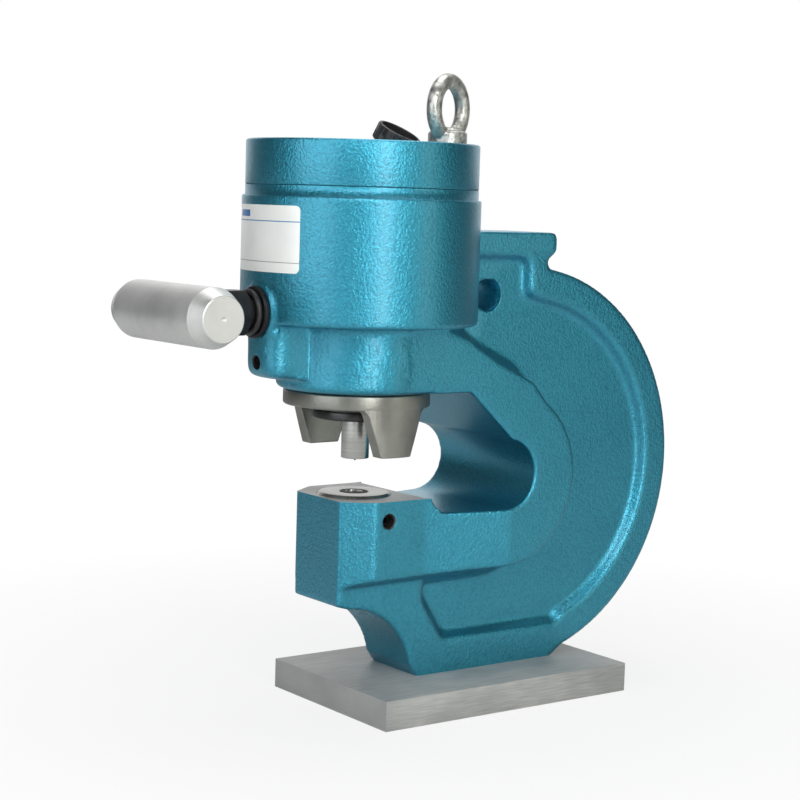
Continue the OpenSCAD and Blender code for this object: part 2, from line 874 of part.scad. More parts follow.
// Black gland screwed into the cylinder wall; the handle's stem turns in it
module handle_bush() {
    color([0.13, 0.13, 0.14]) at_handle() difference() {
        union() {
            turned(gland_flange_r, gland_flange_t);
            cylinder_between(gland_r, -gland_l, edge);
        }
        cylinder_between(pivot_r + run, -gland_l - over, gland_flange_t + over);
    }
}

// Rubber ring on the stem's neck
module handle_seal() {
    mean = stem_neck_r + snug + seal_wire;
    color([0.08, 0.08, 0.08]) at_handle() translate([0, 0, gland_flange_t + gap + seal_wire])
        rotate_extrude() translate([mean, 0]) circle(seal_wire, $fn = 32);
}

// Black hexagon stem: threaded into the grip, turned down to a pivot in the gland
module handle_stem() {
    neck_z0 = gland_flange_t + gap;
    hex_z = neck_z0 + stem_neck_l;
    hex_end = grip_x - grip_seat - lug_x;
    clip_z = -gland_l - gap - clip_t;
    corner_r = hex_af / 2 / cos(30);
    color([0.1, 0.1, 0.11]) at_handle() {
        cylinder_between(stem_neck_r, neck_z0, hex_z + edge);
        intersection() {
            rotate(30) cylinder_between(corner_r, hex_z, hex_end, hex_sides);
            translate([0, 0, hex_z]) turned(corner_r, hex_end - hex_z, hex_bevel);
        }
        cylinder_between(thread_r, hex_end - edge, hex_end + thread_l);
        cylinder_between(pivot_r, clip_z + clip_t, neck_z0 + edge);
        cylinder_between(pivot_r - clip_groove, clip_z - edge, clip_z + clip_t + edge);
        cylinder_between(pivot_r, clip_z - pivot_end, clip_z);
    }
}

// Retaining clip in the groove at the stem's inner end
module handle_retainer() {
    color("silver") at_handle()
        cylinder_wall(clip_r, pivot_r - clip_groove + snug, -gland_l - gap - clip_t + snug,
            -gland_l - gap - snug);
}

// Turned aluminium cross grip with long bevelled ends
module handle_grip() {
    half = grip_l / 2;
    color("lightgray") difference() {
        translate([-grip_x, 0, handle_z]) rotate([90, 0, 0]) rotate_extrude() polygon([
            [0, -half], [grip_face_r, -half], [grip_r, grip_bevel - half],
            [grip_r, half - grip_bevel], [grip_face_r, half], [0, half]]);
        at_handle() {
            cylinder_between(spot_r, grip_x - grip_r - over - lug_x, grip_x - grip_seat - lug_x);
            cylinder_between(thread_r + snug, grip_x - grip_seat - lug_x - over,
                grip_x - grip_seat - lug_x + thread_l + edge);
        }
    }
}

// Piston and rod in one, with two grooves in the piston and a neck for the punch nut
module ram() {
    r = bore_r - run;
    low = piston_z - piston_h;
    nut_top = nut_z + nut_h;
    g = r - groove_d;
    g1 = low + groove_land;
    g2 = piston_z - groove_land - groove_w;
    color("silver") rotate_extrude() polygon([[0, nut_z + nut_lip + head_h + snug],
        [neck_r, nut_z + nut_lip + head_h + snug], [neck_r, nut_top], [rod_r, nut_top],
        [rod_r, low], [r - edge, low], [r, low + edge], [r, g1], [g, g1], [g, g1 + groove_w],
        [r, g1 + groove_w], [r, g2], [g, g2], [g, g2 + groove_w], [r, g2 + groove_w],
        [r, piston_z - edge], [r - edge, piston_z], [0, piston_z]]);
}

// A ring that fills one groove of the piston
module groove_ring(z) {
    r = bore_r - run;
    cylinder_wall(r, r - groove_d + snug, z + snug, z + groove_w - snug);
}

module piston_seal() {
    color("sienna") groove_ring(piston_z - groove_land - groove_w);
}

module guide_ring() {
    color("peru") groove_ring(piston_z - piston_h + groove_land);
}

// Height of the spring wire's centre, turns into the coil: closed ends, open middle
function coil_z(t) =
    let (
        low = spring_z + spring_wire / 2,
        high = spring_top - spring_wire / 2,
        flat = (spring_wire + spring_gap) * end_turns,
        open = (high - low - 2 * flat) / (spring_turns - 2 * end_turns)
    )
    low + min(t, end_turns) * flat / end_turns
        + max(0, min(t, spring_turns - end_turns) - end_turns) * open
        + max(0, t - spring_turns + end_turns) * flat / end_turns;

coil_steps = spring_turns * wire_rings;
coil = [for (i = [0:coil_steps]) let (a = 360 * i / wire_rings)
    [spring_r * cos(a), spring_r * sin(a), coil_z(i / wire_rings)]];
coil_gap = min([for (i = [0:coil_steps - wire_rings / 2]) for (j = [i + wire_rings / 2:coil_steps])
    norm(coil[i] - coil[j])]) - spring_wire;
echo(least_gap_between_turns = coil_gap);

// Return spring: one round wire swept along the coil
module return_spring() {
    n = wire_sides;
    rings = [for (i = [0:coil_steps]) let (a = 360 * i / wire_rings, c = coil[i])
        each [for (k = [0:n - 1]) let (b = 360 * k / n, w = spring_wire / 2)
            c + w * [cos(b) * cos(a), cos(b) * sin(a), sin(b)]]];
    sides = [for (i = [0:coil_steps - 1]) for (k = [0:n - 1])
        let (j = (k + 1) % n, a = i * n, b = a + n)
        each [[a + k, a + j, b + j], [a + k, b + j, b + k]]];
    low = [for (k = [n - 1:-1:0]) k];
    high = [for (k = [0:n - 1]) coil_steps * n + k];
    color("slategray") polyhedron(rings, concat([low, high], sides));
}

// Bronze guide bush of the rod
module rod_bush() {
    color("goldenrod") cylinder_wall(bush_r - snug, rod_r + run, pocket_z - bush_h, pocket_z);
}

// Wiper ring at the housing's mouth
module rod_wiper() {
    color("black") cylinder_wall(wiper_r - snug, rod_r + run, housing_z, housing_z + wiper_h);
}

// Dark steel nut that clamps the punch's head under the rod
module punch_nut() {
    color([0.2, 0.2, 0.22]) difference() {
        translate([0, 0, nut_z]) turned(nut_r, nut_h);
        cylinder_between(punch_r + snug, nut_z - over, nut_z + nut_h);
        cylinder_between(head_r + snug, nut_z + nut_lip, nut_z + nut_h);
        cylinder_between(neck_r + snug, nut_z + nut_lip + head_h, nut_z + nut_h + over);
    }
}

// Hardened punch with a headed top and a small centre point
module punch() {
    top = nut_z + nut_lip + head_h;
    color("gainsboro") rotate_extrude() polygon([[0, punch_z - point_h], [point_r, punch_z],
        [punch_r, punch_z], [punch_r, nut_z + nut_lip], [head_r, nut_z + nut_lip],
        [head_r, top], [0, top]]);
}

// Side view of one stripper leg: tapered, with fillets where it meets the ring
module leg_view() {
    top = ring_z + edge;
    polygon(rounded([[leg_tip, leg_z, edge], [leg_top, ring_z, leg_round], [ring_r, ring_z, 0],
        [ring_r, top, 0], [-ring_r, top, 0], [-ring_r, ring_z, 0],
        [-leg_top, ring_z, leg_round], [-leg_tip, leg_z, edge]]));
}

// Cast stripper: a ring under the housing with two tapered legs astride the punch
module stripper() {
    color("darkgray") difference() {
        union() {
            translate([0, 0, ring_z]) turned(ring_r, ring_h);
            cylinder_between(register_r, ring_z + edge, housing_z);
            difference() {
                intersection() {
                    translate([0, 0, leg_z]) cylinder(r1 = ring_r - leg_taper, r2 = ring_r,
                        h = leg_h + edge);
                    side_view(ring_r) leg_view();
                }
                translate([-ring_r, -leg_in, leg_z - over]) cube([2 * ring_r, 2 * leg_in,
                    leg_h + over]);
            }
        }
        cylinder_between(ring_bore, leg_z - over, housing_z + over);
        at_stripper_screws() {
            cylinder_between(screw_r + gap, ring_z - over, housing_z + over);
            cylinder_between(screw_head_r + gap, ring_z - over, ring_z + screw_head_h);
        }
    }
}

// Four socket screws up through the stripper ring into the housing
module stripper_screws() {
    color("dimgray") at_stripper_screws() difference() {
        union() {
            cylinder_between(screw_head_r, ring_z + edge / 2, ring_z + screw_head_h);
            cylinder_between(screw_r, ring_z + screw_head_h - snug, housing_z + screw_depth);
        }
        cylinder_between(socket_r, ring_z - over, ring_z + socket_depth, hex_sides);
    }
}

// Die: a hardened bush with a cutting land and a relieved bore for the slugs
module die() {
    low = die_z - die_h;
    color("gainsboro") rotate_extrude() polygon([[relief_r, low], [die_r - edge, low],
        [die_r, low + edge], [die_r, die_z - die_edge], [die_r - die_edge, die_z],
        [die_hole_r + edge, die_z], [die_hole_r, die_z - edge], [die_hole_r, die_z - die_land],
        [relief_r, die_z - die_land - edge]]);
}

// Grub screw that bears on the die, sunk in the jaw's cross hole
module die_lock_screw() {
    color("dimgray") translate([lock_x, -die_r - snug, die_z - lock_drop]) rotate([90, 0, 0])
        difference() {
            turned(tap_r - snug, lock_l);
            cylinder_between(lock_socket_r, lock_l - lock_socket_depth, lock_l + over,
                hex_sides);
        }
}

base_plate();
foot_screws();
frame();
cylinder_cap();
cap_seal();
lifting_eye();
coupler();
coupler_poppet();
dust_cap();
name_plate();
handle_bush();
handle_seal();
handle_stem();
handle_retainer();
handle_grip();
ram();
piston_seal();
guide_ring();
return_spring();
rod_bush();
rod_wiper();
punch_nut();
punch();
stripper();
stripper_screws();
die();
die_lock_screw();
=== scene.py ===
import math

import bpy
from mathutils import Matrix, Vector


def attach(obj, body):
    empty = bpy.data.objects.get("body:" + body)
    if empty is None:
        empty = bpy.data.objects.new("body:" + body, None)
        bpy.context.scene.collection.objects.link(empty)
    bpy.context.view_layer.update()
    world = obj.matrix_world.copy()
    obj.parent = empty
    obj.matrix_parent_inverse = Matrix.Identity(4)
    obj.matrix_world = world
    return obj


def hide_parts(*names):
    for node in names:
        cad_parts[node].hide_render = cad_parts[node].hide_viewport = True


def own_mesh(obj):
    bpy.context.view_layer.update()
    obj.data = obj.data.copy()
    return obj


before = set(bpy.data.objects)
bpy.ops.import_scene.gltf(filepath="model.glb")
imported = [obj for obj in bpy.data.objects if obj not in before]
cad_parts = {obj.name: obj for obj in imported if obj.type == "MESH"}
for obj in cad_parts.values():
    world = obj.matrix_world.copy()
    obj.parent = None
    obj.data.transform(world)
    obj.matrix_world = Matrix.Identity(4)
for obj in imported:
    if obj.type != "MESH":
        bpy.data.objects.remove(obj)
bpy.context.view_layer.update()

# ---------------------------------------------------------------- Studio
# A pale floor with three tall softboxes round the press, a lamp in front and one overhead.
# The camera stands at the open corner of the jaw, a little above the die, slightly tilted.
scene = bpy.context.scene
scene.view_settings.view_transform = "Standard"
azimuth, pitch, roll = 0.637, 0.107, 0.030
camera_spot = Vector((-0.6897, -0.9786, 0.3262))
lamp_target = Vector((0.04, 0, 0.2))
forward = Vector((math.sin(azimuth) * math.cos(pitch),
                  math.cos(azimuth) * math.cos(pitch), -math.sin(pitch)))
level = Vector((math.cos(azimuth), -math.sin(azimuth), 0))
plumb = level.cross(forward)
right = level * math.cos(roll) + plumb * math.sin(roll)
upward = plumb * math.cos(roll) - level * math.sin(roll)
bpy.ops.object.camera_add()
camera = bpy.context.object
camera_axes = Matrix((right, upward, -forward)).transposed().to_4x4()
camera.matrix_world = Matrix.Translation(camera_spot) @ camera_axes
camera.data.lens = 85.5
camera.data.sensor_width = 36
camera.data.clip_end = 50
scene.camera = camera


def softbox(name, turn, height, away, size, watts, tint):
    """A rectangular lamp aimed at the cylinder; turn is degrees to the right of the camera."""
    bpy.ops.object.light_add(type="AREA")
    lamp = bpy.context.object
    lamp.name = name
    angle = math.radians(turn)
    before = Vector((-forward.x, -forward.y, 0)).normalized()
    spot = (before * math.cos(angle) + level * math.sin(angle)) * away + Vector((0, 0, height))
    lamp.location = spot
    lamp.rotation_euler = (lamp_target - spot).to_track_quat("-Z", "Y").to_euler()
    lamp.data.shape = "RECTANGLE"
    lamp.data.size, lamp.data.size_y = size
    lamp.data.energy = watts
    lamp.data.color = tint


softbox("left_softbox", -43, 0.62, 1.5, (1.15, 1.5), 10.6, (0.94, 0.98, 1.0))
softbox("key_softbox", 23, 0.55, 1.5, (0.3, 1.5), 12, (1.0, 1.0, 0.98))
softbox("right_softbox", 66, 0.5, 1.5, (0.45, 1.4), 3.1, (0.97, 1.0, 0.88))
softbox("front_lamp", 0, 1.25, 1.4, (0.9, 0.6), 6.2, (1.0, 1.0, 1.0))
softbox("overhead_lamp", 160, 1.6, 0.3, (1.2, 1.0), 11, (1.0, 1.0, 1.0))


def add(owner, kind, sockets, out=0, **settings):
    """Adds a shader node to a material or a world, and returns one of its outputs."""
    made = owner.node_tree.nodes.new("ShaderNode" + kind)
    for key, value in settings.items():
        setattr(made, key, value)
    for key, value in sockets.items():
        if isinstance(value, bpy.types.NodeSocket):
            owner.node_tree.links.new(value, made.inputs[key])
        else:
            made.inputs[key].default_value = value
    return made.outputs[out]


def between(owner, value, low, high, to_low=0.0, to_high=1.0):
    """Maps a range of a value onto another range."""
    return add(owner, "MapRange", {"Value": value, "From Min": low, "From Max": high,
                                   "To Min": to_low, "To Max": to_high})


# To the camera the floor glows almost white and fades to white away from the plate.
bpy.ops.mesh.primitive_plane_add(size=14)
floor = bpy.context.object
floor.name = "studio_floor"
paper = bpy.data.materials.new("floor_paper")
paper.use_nodes = True
matt = paper.node_tree.nodes["Principled BSDF"]
matt.inputs["Base Color"].default_value = (0.64, 0.64, 0.64, 1)
matt.inputs["Roughness"].default_value = 0.9
spot = add(paper, "TexCoord", {}, "Object")
reach = add(paper, "VectorMath", {0: spot, 1: (0.08, 0, 0)}, "Value", operation="DISTANCE")
seen = add(paper, "LightPath", {}, "Is Camera Ray")
share = add(paper, "Math", {0: seen, 1: between(paper, reach, 0.15, 0.6, 0.8, 1.0)},
            operation="MULTIPLY")
glow = add(paper, "Emission", {"Strength": 1.02})
sheet = add(paper, "MixShader", {0: share, 1: matt.outputs[0], 2: glow})
paper.node_tree.links.new(sheet, paper.node_tree.nodes["Material Output"].inputs[0])
floor.data.materials.append(paper)

# The room is dim, white to the camera, and in reflections bright only behind the press.
world = bpy.data.worlds.new("studio_room")
scene.world = world
world.use_nodes = True
room = world.node_tree.nodes["Background"]
room.inputs["Color"].default_value = (0.98, 1.0, 1.0, 1)
room.inputs["Strength"].default_value = 0.15
way = add(world, "TexCoord", {}, "Generated")
facing = add(world, "VectorMath", {0: way, 1: (-0.595, -0.804, 0)}, "Value",
             operation="DOT_PRODUCT")
mirrored = add(world, "Background", {0: between(world, facing, -0.9, -0.6, 1.0, 0.06)})
white = add(world, "Background", {0: (1, 1, 1, 1)})
rays = add(world, "LightPath", {}).node.outputs
shiny = add(world, "Math", {0: rays["Is Glossy Ray"], 1: rays["Is Transmission Ray"]},
            operation="MAXIMUM")
unseen = add(world, "MixShader", {0: shiny, 1: room.outputs[0], 2: mirrored})
shown = add(world, "MixShader", {0: rays["Is Camera Ray"], 1: unseen, 2: white})
world.node_tree.links.new(shown, world.node_tree.nodes["World Output"].inputs[0])

# ---------------------------------------------------------------- Base plate
# A sawn and surface-ground slab of mild steel, 198 by 126 by 19 mm, counterbored from
# below for the foot screws. Ground faces show fine straight scratches along their length.
same_point = 0.000005
plate_top = 0.019
at_feet = [Matrix.Translation((x, y, 0)) for x in (0.062, 0.122) for y in (-0.013, 0.013)]


def new_finish(name, colour, metallic, roughness):
    """A material with its shader's plain sockets set, ready for texture nodes."""
    made = bpy.data.materials.new(name)
    made.use_nodes = True
    shader = made.node_tree.nodes["Principled BSDF"]
    shader.inputs["Base Color"].default_value = (*colour, 1)
    shader.inputs["Metallic"].default_value = metallic
    shader.inputs["Roughness"].default_value = roughness
    return made, shader


def place_on(finish, stretch=(1, 1, 1)):
    """The piece's own coordinates, stretched."""
    own = add(finish, "TexCoord", {}, "Object")
    return add(finish, "Mapping", {"Vector": own, "Scale": stretch})


def noise(finish, scale, detail, stretch=(1, 1, 1)):
    """Noise that stays with the piece."""
    return add(finish, "TexNoise", {"Vector": place_on(finish, stretch), "Scale": scale,
                                    "Detail": detail})


def colours(finish, factor, a, b):
    """A mix of two colours, of which the first may come from another node."""
    return add(finish, "Mix", {0: factor, 6: (*a, 1) if isinstance(a, tuple) else a, 7: (*b, 1)},
               2, data_type="RGBA")


def join(finish, shader, colour, roughness, height, strength, depth):
    """Plugs colour, roughness and a height map into the shader."""
    links = finish.node_tree.links
    links.new(colour, shader.inputs["Base Color"])
    if roughness is not None:
        links.new(roughness, shader.inputs["Roughness"])
    bump = add(finish, "Bump", {"Strength": strength, "Distance": depth, "Height": height})
    links.new(bump, shader.inputs["Normal"])


def ground_steel(name, along, tone, roughness, metallic=0.85):
    """Ground steel: scratches along one axis, cloudy tone, a few darker specks."""
    finish, shader = new_finish(name, (tone, tone, tone), metallic, roughness)
    grain = noise(finish, 1.0, 3.0, along)
    cloud = noise(finish, 28.0, 4.0)
    pits = noise(finish, 900.0, 2.0)
    worn = add(finish, "Math", {0: grain, 1: cloud}, operation="MULTIPLY")
    mixed = colours(finish, between(finish, worn, 0.12, 0.42),
                    (tone * 0.72, tone * 0.74, tone * 0.74),
                    (tone * 1.15, tone * 1.14, tone * 1.1))
    rough = between(finish, cloud, 0.3, 0.7, roughness - 0.07, roughness + 0.12)
    height = add(finish, "Math", {0: grain, 1: pits}, operation="ADD")
    join(finish, shader, mixed, rough, height, 0.25, 0.0001)
    return finish


def deselect():
    """Leaves edit mode and selects nothing."""
    if bpy.context.object and bpy.context.object.mode != "OBJECT":
        bpy.ops.object.mode_set(mode="OBJECT")
    bpy.ops.object.select_all(action="DESELECT")


def pick(*pieces):
    """Selects pieces, the first of them active."""
    deselect()
    for piece in pieces:
        piece.select_set(True)
    bpy.context.view_layer.objects.active = pieces[0]


def modified(piece, kind, **settings):
    """Adds a modifier with its settings and applies it."""
    tool = piece.modifiers.new("step", kind)
    for key, value in settings.items():
        setattr(tool, key, value)
    if "FINISHED" not in bpy.ops.object.modifier_apply(modifier=tool.name):
        raise RuntimeError("the " + kind + " step on " + piece.name + " failed")


def coated(piece, *finishes):
    """Gives a piece its finishes, one slot each."""
    for finish in finishes:
        piece.data.materials.append(finish)
    return piece


def block(middle, size, finish):
    """A plain block."""
    deselect()
    bpy.ops.mesh.primitive_cube_add(size=1, location=middle, scale=size)
    return coated(bpy.context.object, finish)


def settle(piece, name, finish, body, *nodes, slot=None, angle=30):
    """Applies the place, closes and smooths the mesh, and names, coats and rides the piece."""
    pick(piece)
    piece.name = piece.data.name = name
    bpy.ops.object.transform_apply(location=True, rotation=True, scale=True)
    bpy.ops.object.mode_set(mode="EDIT")
    bpy.ops.mesh.select_all(action="SELECT")
    bpy.ops.mesh.remove_doubles(threshold=same_point)
    bpy.ops.mesh.normals_make_consistent(inside=False)
    bpy.ops.object.mode_set(mode="OBJECT")
    bpy.ops.object.shade_smooth_by_angle(angle=math.radians(angle))
    if not piece.data.materials:
        coated(piece, finish)
    for bare in piece.material_slots:
        bare.material = bare.material or finish
    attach(piece, body)
    if nodes:
        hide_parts(*nodes)


def rounded(piece, width, segments=2):
    """Breaks the piece's sharp edges; it comes before any cut, which leaves thin faces."""
    pick(piece)
    bpy.ops.object.transform_apply(location=True, rotation=True, scale=True)
    modified(piece, "BEVEL", width=width, segments=segments, limit_method="ANGLE",
             angle_limit=math.radians(30))
    return piece


def cut(piece, *cutters):
    """Takes the cutters' shapes out of a piece and removes them."""
    for cutter in cutters:
        pick(piece)
        modified(piece, "BOOLEAN", operation="DIFFERENCE", solver="MANIFOLD", object=cutter,
                 material_mode="TRANSFER")
        bpy.data.objects.remove(cutter)


def turned(outline, place=Matrix(), steps=96):
    """A turned piece: a ring is extruded and resized along the outline of (radius, height)
    points, as on a lathe, its ends are filled, and it is set down at its place. A radius of
    nought becomes a lathe's centre pip, because a smaller ring would lose its roundness."""
    pip, same_ring = 0.0002, 0.000002
    deselect()
    rings = [(max(r, pip), z) for r, z in outline]
    wide = max(r for r, z in rings)
    bpy.ops.mesh.primitive_circle_add(vertices=steps, radius=wide, location=(0, 0, 0))
    piece = bpy.context.object
    bpy.ops.object.mode_set(mode="EDIT")
    bpy.ops.mesh.select_all(action="SELECT")
    bpy.ops.mesh.select_mode(type="EDGE")
    radius, height = rings[0]
    bpy.ops.transform.translate(value=(0, 0, height))
    bpy.ops.transform.resize(value=(radius / wide, radius / wide, 1),
                             center_override=(0, 0, height))
    hollow = rings[0] == rings[-1]
    if not hollow:
        bpy.ops.mesh.edge_face_add()
        bpy.ops.mesh.select_mode(type="EDGE")
    for next_radius, next_height in rings[1:]:
        bpy.ops.mesh.extrude_edges_move(
            TRANSFORM_OT_translate={"value": (0, 0, next_height - height)})
        bpy.ops.transform.resize(value=(next_radius / radius, next_radius / radius, 1),
                                 center_override=(0, 0, next_height))
        radius, height = next_radius, next_height
    if not hollow:
        bpy.ops.mesh.edge_face_add()
    bpy.ops.mesh.select_all(action="SELECT")
    bpy.ops.mesh.remove_doubles(threshold=same_ring)
    bpy.ops.mesh.normals_make_consistent(inside=False)
    bpy.ops.object.mode_set(mode="OBJECT")
    piece.matrix_world = place
    return piece


plate_steel = ground_steel("plate_ground_steel", (60, 1500, 1500), 0.46, 0.5, 0.35)
plate = rounded(block((0.081, -0.0035, plate_top / 2), (0.198, 0.126, plate_top), plate_steel),
                0.0004)
for place in at_feet:
    counterbore = turned([(0.0083, -0.002), (0.0083, 0.0098), (0.0053, 0.0098), (0.0053, 0.021)],
                         place, 48)
    cut(plate, coated(counterbore, plate_steel))
settle(plate, "ground_base_plate", plate_steel, "press", "base_plate", slot="ground_steel")

# ---------------------------------------------------------------- Foot screws
# Four M10 socket screws from under the plate into the casting's foot, black oxide on
# steel. Only their heads show, and only from below.


def clouded(name, shown, metallic, roughness, scale, detail, dark, light, smooth, rough,
            strength, depth=0.0001):
    """A finish whose tone, gloss and height all follow one noise."""
    finish, shader = new_finish(name, shown, metallic, roughness)
    cloud = noise(finish, scale, detail)
    join(finish, shader, colours(finish, cloud, dark, light),
         between(finish, cloud, 0.3, 0.7, smooth, rough), cloud, strength, depth)
    return finish


def joined(*shells):
    """Joins closed shells into one piece, the first."""
    pick(*shells)
    bpy.ops.object.join()
    return shells[0]


def socket_screw(outline, socket, low, high):
    """A screw turned to an outline, with a hexagon socket between two heights."""
    screw = rounded(turned(outline, steps=48), 0.0002)
    cut(screw, turned([(socket, low), (socket, high)], steps=6))
    return screw


def spread(screw, name, node, places):
    """Copies a screw to each of its places and joins the copies as one set."""
    copies = []
    for place in places:
        made = screw.copy()
        made.data = screw.data.copy()
        made.matrix_world = place
        scene.collection.objects.link(made)
        copies.append(made)
    bpy.data.objects.remove(screw)
    settle(joined(*copies), name, black_oxide, "press", node, slot="black_steel")


black_oxide = clouded("black_oxide", (0.022, 0.022, 0.024), 0.7, 0.38, 160.0, 4.0,
                      (0.012, 0.012, 0.014), (0.035, 0.035, 0.038), 0.3, 0.5, 0.12)
foot_screw = socket_screw([(0, 0.0008), (0.0074, 0.0008), (0.008, 0.0014), (0.008, 0.0094),
                           (0.0076, 0.0098), (0.005, 0.0098), (0.005, 0.0402),
                           (0.0042, 0.041), (0, 0.041)], 0.0046, 0.0, 0.0058)
spread(foot_screw, "foot_socket_screws", "foot_screws", at_feet)

# ---------------------------------------------------------------- Casting
# One iron casting holds the foot, the C-shaped back, the jaw and the cylinder. It is cast
# with allowance and painted in a glossy hammered enamel, and then bored, drilled and milled
# bare: the cylinder's bore, the tapped holes, the jaw's top and the sole.
enamel, shader = new_finish("hammered_enamel", (0.03, 0.26, 0.36), 0.9, 0.36)
shader.inputs["Coat Weight"].default_value = 0.6
shader.inputs["Coat Roughness"].default_value = 0.28
pebbles = add(enamel, "TexVoronoi", {"Vector": place_on(enamel), "Scale": 640.0,
                                     "Smoothness": 1.0}, "Distance", feature="SMOOTH_F1")
fine = noise(enamel, 1100.0, 2.0)
broad = noise(enamel, 22.0, 3.0)
skin = add(enamel, "Math", {0: fine, 1: pebbles}, operation="ADD")
tone = add(enamel, "Math", {0: between(enamel, pebbles, 0.1, 0.7, 0.0, 0.7),
                            1: between(enamel, broad, 0.3, 0.7, 0.0, 0.3)}, operation="ADD")
join(enamel, shader, colours(enamel, tone, (0.05, 0.375, 0.52), (0.027, 0.27, 0.4)),
     between(enamel, fine, 0.3, 0.7, 0.32, 0.42), skin, 0.55, 0.0005)
milled_iron = ground_steel("milled_iron", (80, 1200, 1200), 0.42, 0.4)
bored_iron = ground_steel("bored_iron", (300, 300, 2500), 0.3, 0.4)
# The tapped holes' iron gets an almost black tone. This is painted shade for the dark inside of
# the threaded holes, not the grey of bare iron.
tapped_iron_painted_shade = ground_steel("tapped_iron_painted_shade", (300, 300, 2500), 0.07, 0.5)


def plug(radius, low, high, place=Matrix(), steps=64):
    """A plain round slug that fills a bore or cuts one."""
    return turned([(radius, low), (radius, high)], place, steps)


def drill(radius, depth, place, mouth, finish, pitch=0.0):
    """A drill with a countersink, or a tap where it has a pitch: it points down its -Z."""
    above = 0.006
    walls = [(radius, -depth)]
    if pitch:
        for turn in range(int((depth - 2 * pitch) / pitch)):
            low = -depth + pitch * (turn + 0.6)
            walls += [(radius, low), (radius + 0.4 * pitch, low + 0.5 * pitch),
                      (radius, low + 0.9 * pitch)]
    walls += [(radius, -mouth), (radius + mouth, 0), (radius + mouth, above)]
    return coated(turned(walls, place, 48), finish)


def select_where(piece, test, mode="VERT"):
    """Selects the piece's vertices or faces whose centre passes the test, in edit mode."""
    pick(piece)
    bpy.ops.object.mode_set(mode="EDIT")
    bpy.ops.mesh.select_mode(type=mode)
    bpy.ops.mesh.select_all(action="DESELECT")
    bpy.ops.object.mode_set(mode="OBJECT")
    for item in piece.data.vertices if mode == "VERT" else piece.data.polygons:
        item.select = test(item.co if mode == "VERT" else item.center)
    bpy.ops.object.mode_set(mode="EDIT")


def copy_of(node):
    """A copy of a CAD node's mesh with its seams merged, free to be worked on."""
    made = bpy.data.objects.new("copy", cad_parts[node].data.copy())
    made.matrix_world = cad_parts[node].matrix_world
    scene.collection.objects.link(made)
    made.data.materials.clear()
    select_where(made, lambda v: True)
    bpy.ops.mesh.remove_doubles(threshold=same_point)
    bpy.ops.object.mode_set(mode="OBJECT")
    return made


def forged(piece, voxel, passes):
    """Melts overlapping shells into one skin and softens its edges, as a forging or moulding."""
    pick(piece)
    piece.data.remesh_voxel_size = voxel
    bpy.ops.object.voxel_remesh()
    modified(piece, "SMOOTH", factor=0.5, iterations=passes)
    return piece


def about(degrees, out, up=0.0):
    """A place at a distance from the cylinder's axis, turned about it."""
    return Matrix.Rotation(math.radians(degrees), 4, "Z") @ Matrix.Translation((out, 0, up))


to_front = Matrix.Rotation(math.radians(-90), 4, "Y")
to_side = Matrix.Rotation(math.radians(90), 4, "X")
at_lock = Matrix.Translation((0.0008, -0.038, 0.1245)) @ to_side
at_lug = Matrix.Translation((-0.076, 0, 0.2225)) @ to_front
at_handle = Matrix.Translation((-0.076, 0, 0.2535)) @ to_front
at_lift = Matrix.Translation((0.0884, 0, 0.264)) @ to_side
at_stripper_screws = [about(turn, 0.0388) for turn in (-30, 30, 150, 210)]
jaw_top, jaw_end, jaw_stock = 0.1369, 0.03, 0.005
sole_stock = 0.003
wall_foot, wall_least, wall_most = 0.2464, 0.0728, 0.0752
near = 0.00005
coarse_tap = 0.00125

# Stock is left on the jaw's top and on the sole, and the wall makes way for a rounder one.
casting = copy_of("frame")
select_where(casting, lambda v: abs(v.z - jaw_top) < near and v.x < jaw_end + 2 * near)
bpy.ops.transform.translate(value=(0, 0, jaw_stock))
select_where(casting, lambda v: abs(v.z - jaw_top - jaw_stock) < near
             and v.x > jaw_end - 2 * near)
bpy.ops.transform.translate(value=(-0.0057, 0, 0))
select_where(casting, lambda v: v.z < plate_top + near)
bpy.ops.transform.translate(value=(0, 0, -sole_stock))
select_where(casting, lambda v: v.z > wall_foot
             and wall_least < math.hypot(v.x, v.y) < wall_most)
bpy.ops.transform.resize(value=(0.88, 0.88, 1), center_override=(0, 0, 0.3))
bpy.ops.object.mode_set(mode="OBJECT")

# Every bore and hole is filled before the melt and cut crisp after it.
slugs = [plug(0.029, 0.2046, 0.224), plug(0.036, 0.2212, 0.256), plug(0.0245, 0.108, 0.1419),
         turned([(0, 0.2465), (0.0742, 0.2465), (0.07502, 0.2473), (0.07502, 0.3347),
                 (0, 0.3347)], steps=192),
         plug(0.0115, -0.0188, 0.0188, at_lift), plug(0.0052, -0.018, -0.0001, at_lock),
         plug(0.0052, -0.02, -0.0001, at_lug), plug(0.0124, -0.0224, -0.0001, at_handle)]
slugs += [plug(0.006, 0.0162, 0.0435, place, 24) for place in at_feet]
slugs += [plug(0.0037, 0.2046, 0.217, place, 24) for place in at_stripper_screws]
forged(joined(casting, *slugs), 0.0015, 10)

# The lug in front is dressed smoother than the rest, and then the mesh is thinned.
lug_root, lug_foot, lug_head = -0.056, 0.2, 0.2435
select_where(casting, lambda v: v.x < lug_root and lug_foot < v.z < lug_head)
bpy.ops.mesh.vertices_smooth(factor=0.5, repeat=60)
bpy.ops.object.mode_set(mode="OBJECT")
modified(casting, "DECIMATE", ratio=0.62)
coated(casting, enamel)

